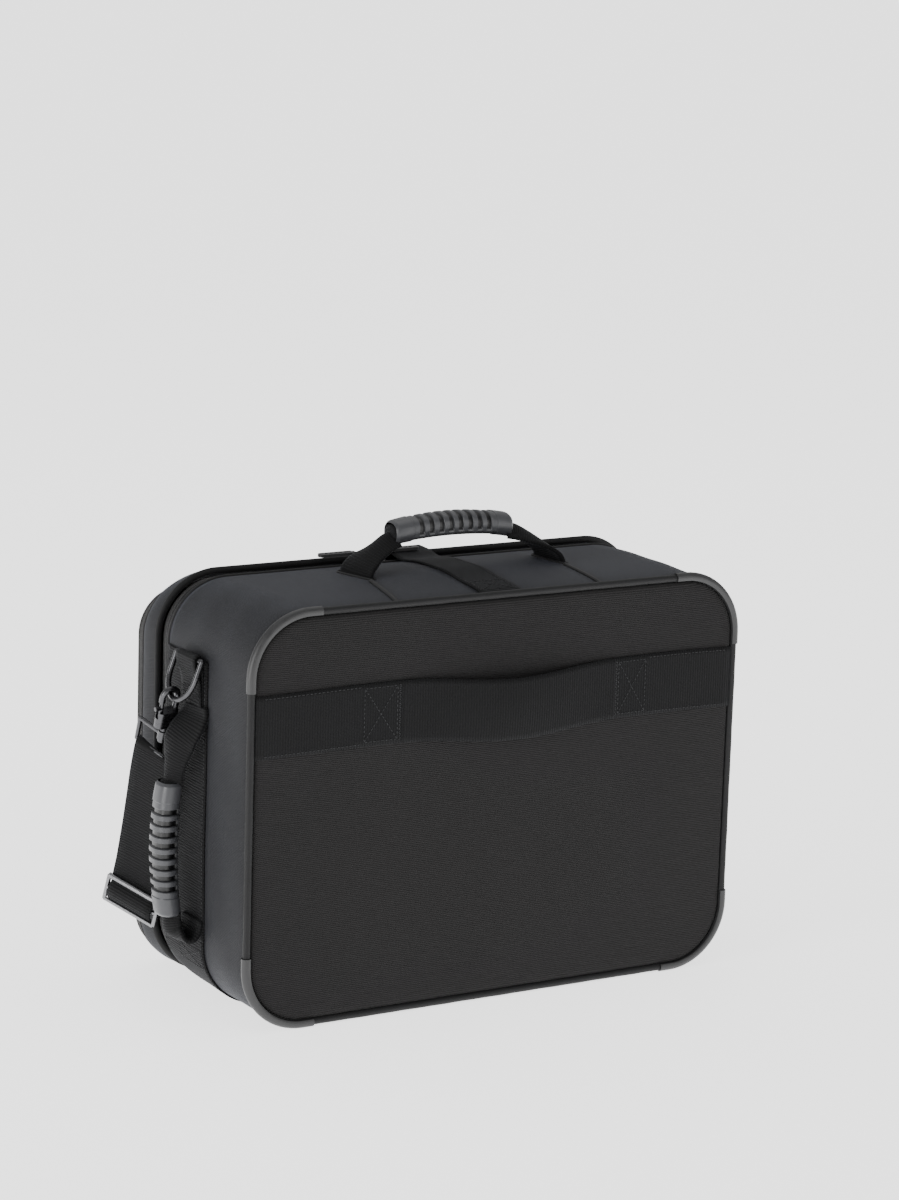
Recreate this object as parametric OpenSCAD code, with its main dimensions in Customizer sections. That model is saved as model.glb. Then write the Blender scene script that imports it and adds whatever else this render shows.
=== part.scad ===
// Soft-sided flight bag: rear compartment with a trolley sleeve, zipped front section,
// two carry handles and a shoulder strap. +Z is up, the trolley sleeve faces -Y, the front
// section faces +Y, and the origin is the middle of the base, on the floor.

/* [Bag] */
// Width over the piping of the back panel
bag_w = 470; // [440:5:500]
// Height from the underside of the piping to its top
bag_h = 350; // [340:5:370]
// Depth of the closed bag
bag_d = 220; // [210:5:230]
// Radius of the back panel's corners
corner_r = 55; // [50:1:60]
// How far the fabric sides lie inside the piping
recess = 2; // [2:0.1:2.4]
// Radius of the piping
piping_r = 3.2; // [3:0.1:3.4]
// Thickness of the corner guards over the piping
guard_t = 1; // [0.8:0.1:1]

/* [Front section] */
// Depth of the front section
lid_d = 53; // [51:1:55]
// Width of the groove that holds the zip
groove_w = 14; // [13:0.5:14]
// How far the front section's rim stands out past the piping
lid_lip = 2; // [1.5:0.1:2]
// How much lower the front section's top is at its front
lid_drop = 20; // [16:1:24]

/* [Webbing] */
// Width of the trolley sleeve's webbing
sleeve_w = 52; // [48:1:56]
// How far the loose span of the trolley sleeve stands off
sleeve_bulge = 9; // [8:0.5:10]
// Width of the carry band
band_w = 75; // [70:1:76]
// Width of the shoulder strap
strap_w = 50; // [48:1:50]
// Width of the handles' webbing
handle_web_w = 38; // [34:1:40]
// Thickness of one layer of webbing
web_t = 1.8; // [1.6:0.1:1.9]

/* [Handles] */
// Length of the moulded grips
grip_len = 113; // [108:1:116]
// Width of the moulded grips
grip_w = 27; // [25:1:28]
// Thickness of the moulded grips
grip_t = 19; // [17:1:20]
// Distance between the feet of the top handle
foot_span = 196; // [180:2:210]
// Height of the top grip's middle over the top of the bag
top_grip_rise = 38; // [37:1:42]
// Distance of the side grip's middle from the side of the bag
side_grip_out = 25; // [25:1:27]

/* [Hidden] */
$fn = 64;

black = [0.07, 0.07, 0.08];
cloth = [0.11, 0.11, 0.12];
lining_grey = [0.2, 0.2, 0.22];
rubber = [0.3, 0.3, 0.31];
metal = [0.45, 0.45, 0.46];

gap = 0.3;                        // clearance between pieces that move apart
far = 1000;                       // size of a cutting block, larger than the bag
back_y = -bag_d / 2;
front_y = bag_d / 2;
floor_gap = guard_t;              // the guards and the base panel stand under the piping
top_z = floor_gap + bag_h;
side_x = bag_w / 2;
zip_y = front_y - lid_d - groove_w / 2;
rear_rim_y = zip_y - groove_w / 2;
lid_rim_y = zip_y + groove_w / 2;
piping_y = back_y + piping_r;
gusset_y = piping_y + piping_r + 0.1;
gusset_end_y = rear_rim_y - 3;
wall_t = 2;                       // thickness of the fabric walls
lining_t = 1.2;

// ---- outlines and helpers ----

// Rounded rectangle that stands on the X axis of the sketch
module rounded_rect(w, h, r) {
    translate([-w / 2 + r, 0]) square([w - 2 * r, h]);
    translate([-w / 2, r]) square([w, h - 2 * r]);
    for (x = [-1, 1], y = [r, h - r]) translate([x * (w / 2 - r), y]) circle(r);
}

// Outline of the bag, moved inwards by the inset
module outline(inset) {
    translate([0, floor_gap + inset])
        rounded_rect(bag_w - 2 * inset, bag_h - 2 * inset, corner_r - inset);
}

// Outline of the bag between two insets
module outline_ring(outer, inner) {
    difference() {
        outline(outer);
        outline(inner);
    }
}

// Stands a sketch up in the X-Z plane, from y0 to y1
module upright(y0, y1) {
    translate([0, y1, 0]) rotate([90, 0, 0]) linear_extrude(y1 - y0) children();
}

// Round tube that follows the bag's outline at an inset
module outline_tube(inset, y, r) {
    w = side_x - inset;
    reach = corner_r - inset;
    low = floor_gap + inset;
    high = top_z - inset;
    for (x = [-w, w])
        translate([x, y, low + reach]) cylinder(r = r, h = high - low - 2 * reach);
    for (z = [low, high])
        translate([-w + reach, y, z]) rotate([0, 90, 0]) cylinder(r = r, h = 2 * (w - reach));
    for (turn = [0, 1, 2, 3])
        translate([
            (turn == 0 || turn == 3 ? 1 : -1) * (w - reach), y,
            turn < 2 ? high - reach : low + reach
        ])
            rotate([0, -90 * turn, 0]) corner_tube(reach, r);
}

// Quarter turn of tube in the X-Z plane
module corner_tube(reach, r) {
    rotate([90, 0, 0]) rotate_extrude(angle = 90) translate([reach, 0]) circle(r);
}

// Leaves out the right side, where the hinge strip takes the place of the zip
module zip_run() {
    difference() {
        children();
        translate([side_x - 30, -far / 2, hinge_z - 1]) cube([far, far, hinge_len + 2]);
    }
}

function unit(v) = v / norm(v);
function back_to_front(list) = [for (i = [len(list) - 1:-1:0]) list[i]];
function beside(path, off) = [
    for (i = [0:len(path) - 1])
        let (
            a = path[max(i - 1, 0)], b = path[min(i + 1, len(path) - 1)], d = unit(b - a)
        ) path[i] + off * [-d[1], d[0]]
];
function arc(centre, r, from, to, n) = [
    for (i = [0:n]) let (a = from + (to - from) * i / n) centre + r * [cos(a), sin(a)]
];

// Strip of webbing seen edge on, along a flat path
module strip(path, t) {
    polygon(concat(beside(path, t / 2), back_to_front(beside(path, -t / 2))));
}

// The right side's hardware is the left side's, mirrored
module on_side(side) {
    if (side == "left") children();
    else mirror([1, 0, 0]) children();
}

// ---- rear compartment ----

panel_inset = 2 * piping_r + 0.1;

module back_panel() color(cloth) upright(back_y + 1, back_y + 3) outline(panel_inset);

module back_board() color(black) upright(back_y + 3.2, back_y + 5.2) outline(12);

module back_piping() color(cloth) outline_tube(piping_r, piping_y, piping_r);

module corner_guards() {
    guard_arm = 10;
    reach = corner_r - piping_r;
    color(rubber) for (mx = [0, 1], high = [0, 1]) mirror([mx, 0, 0])
        translate([side_x - corner_r, piping_y, high ? top_z - corner_r : floor_gap + corner_r])
            mirror([0, 0, high ? 0 : 1]) intersection() {
                difference() {
                    union() {
                        corner_tube(reach, piping_r + guard_t);
                        translate([reach, 0, -guard_arm])
                            cylinder(r = piping_r + guard_t, h = guard_arm);
                        translate([-guard_arm, 0, reach]) rotate([0, 90, 0])
                            cylinder(r = piping_r + guard_t, h = guard_arm);
                    }
                    corner_tube(reach, piping_r + 0.05);
                    translate([reach, 0, -guard_arm - 1])
                        cylinder(r = piping_r + 0.05, h = guard_arm + 1);
                    translate([-guard_arm - 1, 0, reach]) rotate([0, 90, 0])
                        cylinder(r = piping_r + 0.05, h = guard_arm + 1);
                }
                // the guard wraps the back and the outside of the piping only
                union() {
                    guard_cover(corner_r - panel_inset + 0.7, -10, -0.5);
                    guard_cover(reach, -0.6, piping_r - 0.05);
                }
            }
}

// Space outside a corner's inner curve, from y0 to y1, with an arm on both ends
module guard_cover(inner, y0, y1) {
    arm = 11;
    upright(y0, y1) difference() {
        translate([-arm, -arm]) square(corner_r + arm + 10);
        circle(inner);
        translate([-arm - 1, -arm - 1]) square([arm + 1, inner + arm + 1]);
        translate([-arm - 1, -arm - 1]) square([inner + arm + 1, arm + 1]);
    }
}

module gusset_shell()
    color(black) upright(gusset_y, gusset_end_y) outline_ring(recess, recess + wall_t);

module gusset_lining() color(lining_grey) upright(gusset_y + 0.5, gusset_end_y - 0.2)
    outline_ring(recess + wall_t + 0.1, recess + wall_t + 0.1 + lining_t);

hoop_inset = recess + wall_t + lining_t + 0.2;
hoop_w = 3;
module frame_hoop() color(metal) upright(gusset_end_y - 9, gusset_end_y - 5)
    outline_ring(hoop_inset, hoop_inset + hoop_w);

rim_inset = 1.2;
tape_inset = 6.4;
tape_t = 0.8;
module rear_rim()
    color(cloth) upright(gusset_end_y, rear_rim_y) outline_ring(rim_inset, tape_inset);

coil_r = 1.2;
hinge_z = 60;                     // lower end of the hinge strip
hinge_len = 230;
module zip_tape_rear() color(black) zip_run()
    upright(gusset_end_y, zip_y - gap / 2) outline_ring(tape_inset, tape_inset + tape_t);

module zip_coil_rear() color(black) zip_run()
    outline_tube(tape_inset - coil_r, zip_y - gap / 2 - coil_r, coil_r);

sleeve_z = 232;                   // lower edge of the trolley sleeve
sleeve_from = -96;                // where the loose span starts
sleeve_to = 109;                  // and where it ends
sleeve_steps = 48;
function sleeve_off(x) = x < sleeve_from || x > sleeve_to ? 0
    : sleeve_bulge * pow(sin(180 * (x - sleeve_from) / (sleeve_to - sleeve_from)), 2);
module trolley_sleeve() {
    half = side_x - panel_inset - 0.5;
    path = [
        for (i = [0:sleeve_steps])
            let (x = -half + 2 * half * i / sleeve_steps)
                [x, back_y + 0.95 - web_t / 2 - sleeve_off(x)]
    ];
    color(black) translate([0, 0, sleeve_z]) linear_extrude(sleeve_w) strip(path, web_t);
}

band_y = -36;                     // rear edge of the carry band
keeper_top_z = 299;
module carry_band() color(black) intersection() {
    upright(band_y, band_y + band_w) outline_ring(0.1, recess - 0.05);
    translate([-far / 2, -far / 2, keeper_top_z - far]) cube(far);
}

base_panel_w = 340;
module base_panel() color(rubber) translate([-base_panel_w / 2, -60, 0])
    cube([base_panel_w, 90, floor_gap]);

tab_w = 38;
module keeper_tab() {
    flat_z = top_z - recess + 0.05 + web_t / 2;
    over_z = top_z + lid_lip + 0.6 + web_t / 2;
    path = [
        [gusset_y + 0.5, flat_z], [-60, flat_z], [20, flat_z], [34, flat_z + 0.3],
        [41, flat_z + 1.6], [48, over_z - 0.7], [56, over_z], [68, over_z]
    ];
    color(black) translate([-tab_w / 2, 0, 0]) rotate([90, 0, 90])
        linear_extrude(tab_w) strip(path, web_t);
}

// The front section turns about the outer edge of its rim, next to this strip
module hinge_strip() color(cloth) translate([side_x - 2, rear_rim_y + 0.2, hinge_z])
    cube([1.5, groove_w - 0.4, hinge_len]);

// ---- carry handles ----

handle_y = -15;                   // middle of both handles
foot_patch_t = 1.6;
foot_patch = [40, 44];
side_feet_z = [66, 244];
side_grip_z = 138;                // middle of the side handle
module top_handle_feet() color(black) for (s = [-1, 1])
    translate([s * foot_span / 2 - foot_patch[0] / 2, handle_y - foot_patch[1] / 2,
               top_z - recess + 0.05]) cube([foot_patch[0], foot_patch[1], foot_patch_t]);

module side_handle_feet() color(black) for (z = side_feet_z)
    translate([-side_x - foot_patch_t, handle_y - handle_web_w / 2, z - 10])
        cube([foot_patch_t, handle_web_w, 20]);

rib_count = 9;
collar_len = 17;
// Moulded grip along X: collars, ribs round a core, and a rail along the underside
module grip() {
    core_len = grip_len - 2 * collar_len;
    pitch = core_len / (rib_count - 0.5);
    rib_len = pitch * 0.55;
    module section(w, t) {
        for (s = [-1, 1]) translate([0, s * (w - t) / 2]) circle(t / 2);
        square([t, w - t], center = true);
    }
    module slice(x, len, w, t)
        translate([x, 0, 0]) rotate([0, 90, 0]) linear_extrude(len) section(w, t);
    for (x = [-grip_len / 2, grip_len / 2 - collar_len]) slice(x, collar_len, grip_w, grip_t);
    slice(-grip_len / 2 + 1, grip_len - 2, grip_w - 3.6, grip_t - 3.6);
    for (i = [0:rib_count - 1])
        slice(-core_len / 2 + i * pitch, rib_len, grip_w - 0.6, grip_t - 0.6);
    translate([-grip_len / 2 + 2, -grip_w / 2 + 5, -grip_t / 2 + 0.3])
        cube([grip_len - 4, grip_w - 10, 4]);
}

module top_grip() color(rubber)
    translate([0, handle_y, top_z - recess + top_grip_rise]) grip();

module side_grip() color(rubber)
    translate([-side_x - side_grip_out, handle_y, side_grip_z]) rotate([0, -90, 0]) grip();

strap_steps = 16;
module top_handle_straps() {
    end_x = grip_len / 2 + 0.2;
    low_z = top_z - recess + foot_patch_t + 0.4;
    run = foot_span / 2 - end_x;
    rise = top_z - recess + top_grip_rise - low_z;
    path = [
        for (i = [0:strap_steps]) let (a = 90 * i / strap_steps)
            [end_x + run * cos(a), low_z + rise * sin(a)]
    ];
    color(black) for (m = [0, 1]) mirror([m, 0, 0])
        translate([0, handle_y + handle_web_w / 2, 0]) rotate([90, 0, 0])
            linear_extrude(handle_web_w) strip(path, 2 * web_t);
}

// The upper strap swells out behind the hook, the lower one is short
module side_handle_straps() {
    foot_x = side_x + foot_patch_t + 2.1;
    grip_x = side_x + side_grip_out;
    ends = [side_grip_z - grip_len / 2 - 0.4, side_grip_z + grip_len / 2 + 0.4];
    front_edge = [handle_y + 13, handle_y + 9];
    color(black) for (k = [0, 1]) {
        path = [
            for (i = [0:strap_steps]) let (s = i / strap_steps)
                [
                    -foot_x - (grip_x - foot_x) * (k == 1 ? sin(90 * s) : 0.5 - 0.5 * cos(180 * s)),
                    side_feet_z[k] + (ends[k] - side_feet_z[k]) * s
                ]
        ];
        translate([0, front_edge[k], 0]) rotate([90, 0, 0])
            linear_extrude(grip_w) strip(path, 2 * web_t);
    }
}

// ---- shoulder strap hardware, drawn for the left side ----

ring_r = 2.3;                     // wire of the D-ring
ring_bend_r = 22.7;
ring_leg = 14;
ring_bar = [-side_x - 6, -14, 297];
ring_tilt = 20;                   // the hook holds the ring off the side
hook_slide = 24;                  // how far round the ring's curve the hook lies
hook_bend_r = 7;
hook_r = 2.6;
hook_yaw = 15;
shank_r = 2.5;
shank_clear = 0.06;
pin_r = 1.9;
pin_x = -6.5;
pin_clear = 0.06;
barrel_top = -14;
barrel_low = -29;
neck_low = -34;
boss_top = neck_low - 0.4;
boss_low = -42.6;
eye_r = 1.9;
eye_top = -38.5;
eye_low = -58.5;

module ring_keeper() {
    keeper_w = 34;
    loop_r = ring_r + 0.05;
    color(black) translate(ring_bar) {
        translate([0, keeper_w / 2, 0]) rotate([90, 0, 0]) linear_extrude(keeper_w)
            difference() {
                union() {
                    circle(loop_r + web_t);
                    translate([0, -30]) square([loop_r + web_t, 30]);
                }
                circle(loop_r);
                translate([-10, -40]) square([10 + loop_r, 40]);
            }
    }
}

module d_ring() {
    color(metal) translate(ring_bar) rotate([0, ring_tilt, 0]) {
        rotate([90, 0, 0]) cylinder(r = ring_r, h = 2 * ring_bend_r, center = true);
        for (s = [-1, 1]) translate([0, s * ring_bend_r, 0]) {
            sphere(ring_r);
            translate([0, 0, -ring_leg]) cylinder(r = ring_r, h = ring_leg);
        }
        translate([0, 0, -ring_leg]) rotate([0, 90, 0]) rotate([0, 0, -90])
            rotate_extrude(angle = 180) translate([ring_bend_r, 0]) circle(ring_r);
    }
}

// Places a piece on the hook's own axis, with its bend round the ring's wire
module at_hook(lean) {
    hang = hook_bend_r - hook_r - ring_r - gap;
    translate(ring_bar) rotate([0, ring_tilt, 0]) translate([0, 0, -ring_leg])
        rotate([lean, 0, 0]) translate([0, 0, -ring_bend_r])
            rotate([0, -ring_tilt, 0]) translate([0, 0, -hang]) children();
}

module barrel_section(grow) {
    for (s = [-1, 1]) translate([s * 5, 0]) circle(5 + grow);
    square([10, 10 + 2 * grow], center = true);
}

module hook() {
    color(metal) rotate([0, 0, hook_yaw]) difference() {
        union() {
            rotate([90, 0, 0]) rotate_extrude(angle = 180)
                translate([hook_bend_r, 0]) circle(hook_r);
            translate([hook_bend_r, 0, barrel_top - 1]) cylinder(r = hook_r, h = 1 - barrel_top);
            translate([-hook_bend_r, 0, -4.5]) cylinder(r = hook_r, h = 4.5);
            translate([0, 0, barrel_low]) linear_extrude(barrel_top - barrel_low)
                barrel_section(0);
            translate([0, 0, neck_low]) cylinder(r = 3.6, h = barrel_low - neck_low);
            translate([0, 0, boss_low - 1]) cylinder(r = shank_r, h = neck_low - boss_low + 1);
            translate([0, 0, boss_low - 2.3]) cylinder(r = 3.8, h = 2);
        }
        translate([pin_x, 0, barrel_low + 1]) cylinder(r = pin_r + pin_clear, h = 20);
        translate([pin_x - 10, -2.2, barrel_top - 6]) cube([10, 4.4, 10]);
    }
}

trigger_low = -20;
module trigger() color(metal) rotate([0, 0, hook_yaw]) translate([pin_x, 0, 0]) {
    translate([0, 0, trigger_low]) cylinder(r = pin_r, h = -5 - trigger_low);
    translate([0, 0, -10.5]) rotate([0, -90, 0]) cylinder(r = 1.9, h = 6);
}

module hook_spring() color(metal) rotate([0, 0, hook_yaw])
    translate([pin_x, 0, barrel_low + 1.1]) difference() {
        cylinder(r = pin_r - 0.1, h = trigger_low - barrel_low - 1.3);
        translate([0, 0, -1]) cylinder(r = pin_r - 0.7, h = 20);
    }

// Rectangular eye that swivels on the hook's shank and holds the webbing
module hook_eye(yaw) color(metal) rotate([0, 0, yaw]) difference() {
    union() {
        translate([0, 0, boss_low]) cylinder(r = 4.6, h = boss_top - boss_low);
        for (z = [eye_top, eye_low]) translate([0, 0, z]) rotate([90, 0, 0])
            cylinder(r = eye_r, h = strap_w + 4, center = true);
        for (s = [-1, 1]) translate([0, s * (strap_w / 2 + 2), eye_low]) {
            cylinder(r = eye_r, h = eye_top - eye_low);
            for (z = [0, eye_top - eye_low]) translate([0, 0, z]) sphere(eye_r);
        }
    }
    translate([0, 0, boss_low - 1]) cylinder(r = shank_r + shank_clear, h = 20);
}

// ---- shoulder strap ----

run_z = 62;                       // lower edge of the strap where it goes round the front
run_x = side_x + 4.6;             // its distance from the middle, on both sides
run_from_y = 80;
run_to_y = rear_rim_y + 4;
fold_x = run_x + 1.5 * web_t - 0.05;

// Each point is the middle of the webbing; turn and rise are its width's angles from Y
left_drop = [[-251.1, 19.3, 206.2], [-252, 32, 160], [-252, 45, 112], [-253, 57, 66]];
left_turn = [21.4, 23, 25, 25];
left_rise = [20.5, 10, 3, 0];
right_drop = [[252, -14, 199], [252, -14, 160], [fold_x, -14, 112], [fold_x, -14, 66]];
level = [0, 0, 0, 0];

// Flat webbing along a falling path, its width turned and raised from point to point
module falling_web(path, turns, rises, t) {
    n = len(path);
    points = [
        for (i = [0:n - 1])
            let (
                out = [cos(turns[i]), sin(turns[i]), 0],
                across = [-sin(turns[i]) * cos(rises[i]), cos(turns[i]) * cos(rises[i]), sin(rises[i])]
            )
                each [
                    path[i] - across * strap_w / 2 - out * t / 2,
                    path[i] + across * strap_w / 2 - out * t / 2,
                    path[i] + across * strap_w / 2 + out * t / 2,
                    path[i] - across * strap_w / 2 + out * t / 2
                ]
    ];
    sides = [
        for (i = [0:n - 2], k = [0:3])
            let (a = 4 * i + k, b = 4 * i + (k + 1) % 4) each [[a, b + 4, b], [a, a + 4, b + 4]]
    ];
    last = 4 * (n - 1);
    polyhedron(points, concat(
        sides, [[0, 1, 2], [0, 2, 3], [last + 2, last + 1, last], [last + 3, last + 2, last]]
    ));
}

module strap_left_drop() color(black) falling_web(left_drop, left_turn, left_rise, 2 * web_t);

module strap_left_turn() color(black) translate([-run_x - web_t / 2, 33, run_z])
    cube([web_t, run_from_y - 0.3 - 33, strap_w]);

module strap_right_drop() color(black) {
    falling_web(right_drop, level, level, 2 * web_t);
    translate([run_x - web_t / 2, -39, run_z]) cube([web_t, run_to_y - 0.3 + 39, strap_w]);
}

module strap_front_run() {
    bend = 30;
    front = front_y + 3;
    path = concat(
        [[-run_x, run_from_y]],
        arc([-run_x + bend, front - bend], bend, 180, 90, 8),
        arc([run_x - bend, front - bend], bend, 90, 0, 8),
        [[run_x, run_to_y]]
    );
    color(black) translate([0, 0, run_z]) linear_extrude(strap_w) strip(path, web_t);
}

glide_turn = 25;
glide_lean = 15;
glide_at = [-258.4, 53, 74];
module tri_glide() color(metal) translate(glide_at) rotate([glide_lean, 0, glide_turn]) {
    half_h = 11;
    half_w = strap_w / 2 + 2.5;
    for (z = [-half_h, 0, half_h]) translate([0, 0, z]) rotate([90, 0, 0])
        cylinder(r = z > 0 ? 2.4 : 1.7, h = 2 * half_w, center = true);
    for (s = [-1, 1]) translate([0, s * half_w, -half_h]) cylinder(r = 1.9, h = 2 * half_h);
}

// ---- front section ----

module lid_outline(inset) {
    w = bag_w + 2 * lid_lip - 2 * inset;
    translate([0, floor_gap + 0.8 + inset])
        rounded_rect(w, bag_h - 0.8 + lid_lip - 2 * inset, corner_r + 1 - inset);
}

module lid_rim() color(cloth) upright(lid_rim_y, lid_rim_y + 3) difference() {
    lid_outline(0);
    outline(tape_inset);
}

// Pillow shape of the front section, moved inwards by the inset
module lid_pillow(inset) {
    edge_r = 24;
    turn_r = 40;
    front_half_w = side_x - 2;
    low_z = floor_gap + 9;
    hull() {
        upright(lid_rim_y + 3.1, lid_rim_y + 3.6) lid_outline(1 + inset);
        for (x = [-1, 1], z = [low_z + turn_r, top_z - lid_drop - turn_r])
            translate([x * (front_half_w - turn_r), front_y - edge_r, z]) rotate([90, 0, 0])
                rotate_extrude($fn = 32) intersection() {
                    translate([turn_r - edge_r, 0]) circle(edge_r - inset, $fn = 32);
                    translate([0, -edge_r]) square(2 * edge_r + turn_r);
                }
    }
}

module lid_wall(inset, thickness) {
    difference() {
        lid_pillow(inset);
        translate([0, -0.01, 0]) lid_pillow(inset + thickness);
        translate([-far / 2, lid_rim_y + 3.2 - far, -far / 2]) cube(far);
    }
}

lid_seam_y = lid_rim_y + 24;
module lid_gusset() color(black) intersection() {
    lid_wall(0, wall_t);
    translate([-far / 2, lid_seam_y - far, -far / 2]) cube(far);
}

module lid_front() color(cloth) intersection() {
    lid_wall(0, wall_t);
    translate([-far / 2, lid_seam_y + 0.05, -far / 2]) cube(far);
}

module lid_lining() color(lining_grey) lid_wall(wall_t + 2.6, lining_t);

module lid_board() color(black)
    upright(front_y - wall_t - 2.3, front_y - wall_t - 0.3) translate([0, 60])
        rounded_rect(2 * (side_x - 50), top_z - lid_drop - 110, 30);

module lid_hoop() color(metal) upright(lid_rim_y + 4.5, lid_rim_y + 7.5) difference() {
    lid_outline(11);
    lid_outline(14);
}

module zip_tape_lid() color(black) zip_run()
    upright(zip_y + gap / 2, lid_rim_y + 3) outline_ring(tape_inset + 0.05, tape_inset + tape_t);

module zip_coil_lid() color(black) zip_run()
    outline_tube(tape_inset - coil_r, zip_y + gap / 2 + coil_r, coil_r);

// ---- zip sliders ----

slider_len = 14;
slider_x = [-56, -39];            // the two sliders meet nose to nose
slider_z = top_z - tape_inset + 2 * coil_r + gap;
pull_pin_r = 1;
pull_z = slider_z + 5.2;
module zip_slider(x) color(metal) translate([x, zip_y, 0]) {
    translate([0, -5.5, slider_z]) cube([slider_len, 11, 1.8]);
    for (s = [-1, 1]) translate([slider_len / 2 - 2.4, s * 3.4 - 0.7, slider_z + 1.7])
        cube([4.8, 1.4, 5]);
    translate([slider_len / 2, 0, pull_z]) rotate([90, 0, 0])
        cylinder(r = pull_pin_r, h = 7.6, center = true);
}

// Pull tab on its own pin, lying along +X; the left one is mirrored
module zip_pull() {
    pull_len = 40;
    lie_z = top_z + lid_lip + 0.6 + web_t + 0.5 - pull_z;
    color(rubber) difference() {
        union() {
            rotate([90, 0, 0]) cylinder(r = pull_pin_r + 1.2, h = 4.4, center = true);
            rotate([90, 0, 0]) linear_extrude(4.4, center = true) polygon([
                [0, pull_pin_r + 1.2], [1.8, -1.2], [9, lie_z], [9, lie_z + 2.4], [5, lie_z + 2.4]
            ]);
            translate([7, -4.5, lie_z]) cube([pull_len - 11.5, 9, 2.4]);
            translate([pull_len - 4.5, 0, lie_z]) cylinder(r = 4.5, h = 2.4);
        }
        rotate([90, 0, 0]) cylinder(r = pull_pin_r + 0.06, h = 10, center = true);
        for (i = [0:4]) translate([14 + 4.6 * i, 0, lie_z - 1]) cylinder(r = 1.3, h = 5);
    }
}

module pull_at(x, flip)
    translate([x + slider_len / 2, zip_y, pull_z]) mirror([flip, 0, 0]) zip_pull();

// ---- nodes ----

back_panel();
back_board();
back_piping();
corner_guards();
gusset_shell();
gusset_lining();
frame_hoop();
rear_rim();
zip_tape_rear();
zip_coil_rear();
trolley_sleeve();
carry_band();
base_panel();
keeper_tab();
hinge_strip();
top_handle_feet();
side_handle_feet();
on_side("left") ring_keeper();  // ring_keeper_left
on_side("right") ring_keeper();  // ring_keeper_right
strap_left_drop();
strap_left_turn();
strap_right_drop();
lid_rim();
lid_gusset();
lid_front();
lid_board();
lid_lining();
lid_hoop();
zip_tape_lid();
zip_coil_lid();
strap_front_run();
top_grip();
top_handle_straps();
side_grip();
side_handle_straps();
on_side("left") d_ring();  // d_ring_left
on_side("left") at_hook(hook_slide) hook_eye(28);  // hook_eye_left
on_side("left") at_hook(hook_slide) hook();  // hook_left
on_side("left") at_hook(hook_slide) hook_spring();  // hook_spring_left
on_side("left") at_hook(hook_slide) trigger();  // trigger_left
on_side("right") d_ring();  // d_ring_right
on_side("right") at_hook(0) hook_eye(0);  // hook_eye_right
on_side("right") at_hook(0) hook();  // hook_right
on_side("right") at_hook(0) hook_spring();  // hook_spring_right
on_side("right") at_hook(0) trigger();  // trigger_right
tri_glide();
zip_slider(slider_x[0]);  // zip_slider_left
pull_at(slider_x[0], 1);  // zip_pull_left
zip_slider(slider_x[1]);  // zip_slider_right
pull_at(slider_x[1], 0);  // zip_pull_right
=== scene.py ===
import math

import bpy
from mathutils import Matrix, Vector


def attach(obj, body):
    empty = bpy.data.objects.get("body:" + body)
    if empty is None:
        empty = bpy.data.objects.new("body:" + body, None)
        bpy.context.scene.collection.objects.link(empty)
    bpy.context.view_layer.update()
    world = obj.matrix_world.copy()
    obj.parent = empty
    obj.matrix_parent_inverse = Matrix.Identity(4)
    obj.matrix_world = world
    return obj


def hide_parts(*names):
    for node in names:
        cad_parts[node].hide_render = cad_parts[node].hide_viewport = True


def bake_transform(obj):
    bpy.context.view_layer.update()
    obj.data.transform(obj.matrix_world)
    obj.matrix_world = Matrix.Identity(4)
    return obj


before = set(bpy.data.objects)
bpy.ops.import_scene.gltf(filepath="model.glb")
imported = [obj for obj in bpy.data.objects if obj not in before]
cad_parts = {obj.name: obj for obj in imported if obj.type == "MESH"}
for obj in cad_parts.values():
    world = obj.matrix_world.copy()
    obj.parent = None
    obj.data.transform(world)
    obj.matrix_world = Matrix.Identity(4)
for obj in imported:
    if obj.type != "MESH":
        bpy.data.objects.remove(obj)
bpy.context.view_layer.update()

# ---- Camera ----
# A long lens about three metres from the rear left corner, a little above the bag, and
# turned slightly on its own axis.
lens_turn = (
    Matrix.Rotation(math.radians(-30.669), 3, "Z")
    @ Matrix.Rotation(math.radians(90 - 12.141), 3, "X")
    @ Matrix.Rotation(math.radians(1.769), 3, "Z")
)
bpy.ops.object.select_all(action="DESELECT")
bpy.ops.object.camera_add(location=(-1.5183, -2.5799, 0.9657), rotation=lens_turn.to_euler())
bpy.context.object.data.lens = 108.26
bpy.context.object.data.sensor_width = 36
bpy.context.scene.camera = bpy.context.object


# ---- Shoulder strap ----
# One length of 50 mm nylon webbing. It hangs doubled from the left hook, is adjusted by a
# three-bar slide, passes round the front of the bag and goes up to the right hook.
class Amount:
    """A number in a material. Arithmetic on it adds Math nodes."""

    def __init__(self, finish, socket):
        self.finish, self.socket = finish, socket

    def math(self, operation, *others):
        values = dict(enumerate((self,) + others))
        made = self.finish.node("ShaderNodeMath", {"operation": operation}, values)
        return Amount(self.finish, made.outputs[0])

    def __add__(self, other):
        return self.math("ADD", other)

    def __mul__(self, other):
        return self.math("MULTIPLY", other)

    def __sub__(self, other):
        return self.math("SUBTRACT", other)

    def __rsub__(self, other):
        made = self.finish.node("ShaderNodeMath", {"operation": "SUBTRACT"}, {0: other, 1: self})
        return Amount(self.finish, made.outputs[0])

    def __lt__(self, other):
        return self.math("LESS_THAN", other)

    def wave(self, pitch):
        """A sine from 0 to 1 that repeats at the pitch, in metres."""
        return (self * (2 * math.pi / pitch)).math("SINE") * 0.5 + 0.5


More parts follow.
